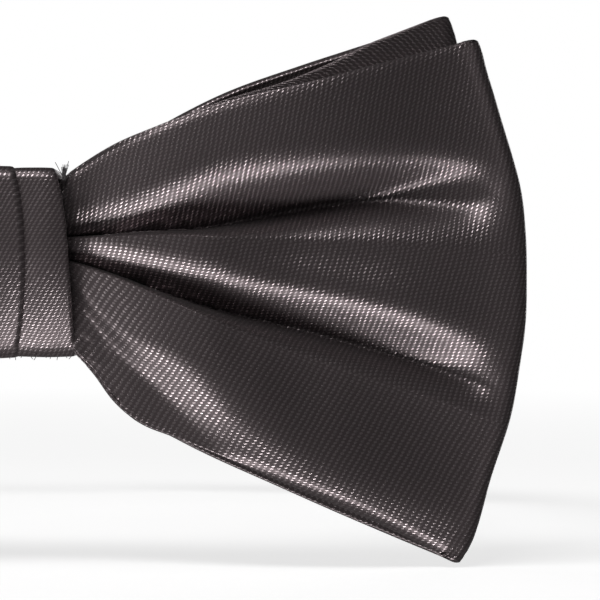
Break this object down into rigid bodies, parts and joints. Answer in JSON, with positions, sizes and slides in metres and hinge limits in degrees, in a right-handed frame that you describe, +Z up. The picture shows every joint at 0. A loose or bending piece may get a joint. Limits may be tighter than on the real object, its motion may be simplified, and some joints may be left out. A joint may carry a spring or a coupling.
{
  "type": "bow tie",
  "caption": "Pre-tied satin bow tie with pleated wings, a wrapped knot and an adjustable neckband that fastens with a hook and eye.",
  "frame": {"origin": "middle of the knot's flat back, where the knot rests on the front of the shirt collar", "axes": "-Y the way the wearer faces, +Y into the loop of the neckband, +Z up, +X to the right as seen by someone facing the wearer"},
  "size_m": [0.121, 0.1395, 0.061],
  "materials": {
    "bow_satin": "satin, steep twill weave",
    "knot_satin": "satin, twill weave turned on the bias",
    "band_satin": "satin, twill weave",
    "interlining": "matt, non-woven",
    "binding_thread": "matt twisted thread",
    "sewing_thread": "twisted thread",
    "nickel": "polished nickel plate"
  },
  "bodies": {
    "bow": {"front_bow": "bow_satin", "back_bow": "bow_satin", "front_bow_interlining": "interlining", "back_bow_interlining": "interlining", "waist_binding_thread": "binding_thread", "knot_wrap": "knot_satin", "knot_seam_thread": "sewing_thread", "neckband_front": "band_satin"},
    "long_band": {"neckband_long": "band_satin", "neckband_tail": "band_satin"},
    "short_band": {"neckband_short": "band_satin", "short_band_tack": "sewing_thread"},
    "slide": {"size_slider": "nickel", "slider_bar_tack": "sewing_thread"},
    "clasp_hook": {"hook": "nickel"},
    "clasp_eye": {"eye": "nickel"}
  },
  "joints": [
    {"name": "long_band_swing", "type": "hinge", "parent": "bow", "child": "long_band", "pos_m": [0.05459, 0.03433, 0], "axis": [0, 0, -1], "range_deg": [0, 75]},
    {"name": "short_band_swing", "type": "hinge", "parent": "bow", "child": "short_band", "pos_m": [-0.05459, 0.03433, 0], "axis": [0, 0, 1], "range_deg": [0, 75]},
    {"name": "slider_travel", "type": "hinge", "parent": "long_band", "child": "slide", "pos_m": [0, 0.0609, 0], "axis": [0, 0, 1], "range_deg": [-30, 24], "deforming": ["neckband_tail"]},
    {"name": "hook_pivot", "type": "hinge", "parent": "long_band", "child": "clasp_hook", "pos_m": [0.01192, 0.11848, 0], "axis": [0, 0, -1], "range_deg": [-30, 75]},
    {"name": "eye_pivot", "type": "hinge", "parent": "short_band", "child": "clasp_eye", "pos_m": [-0.01307, 0.11823, 0], "axis": [0, 0, 1], "range_deg": [-30, 75]}
  ]
}
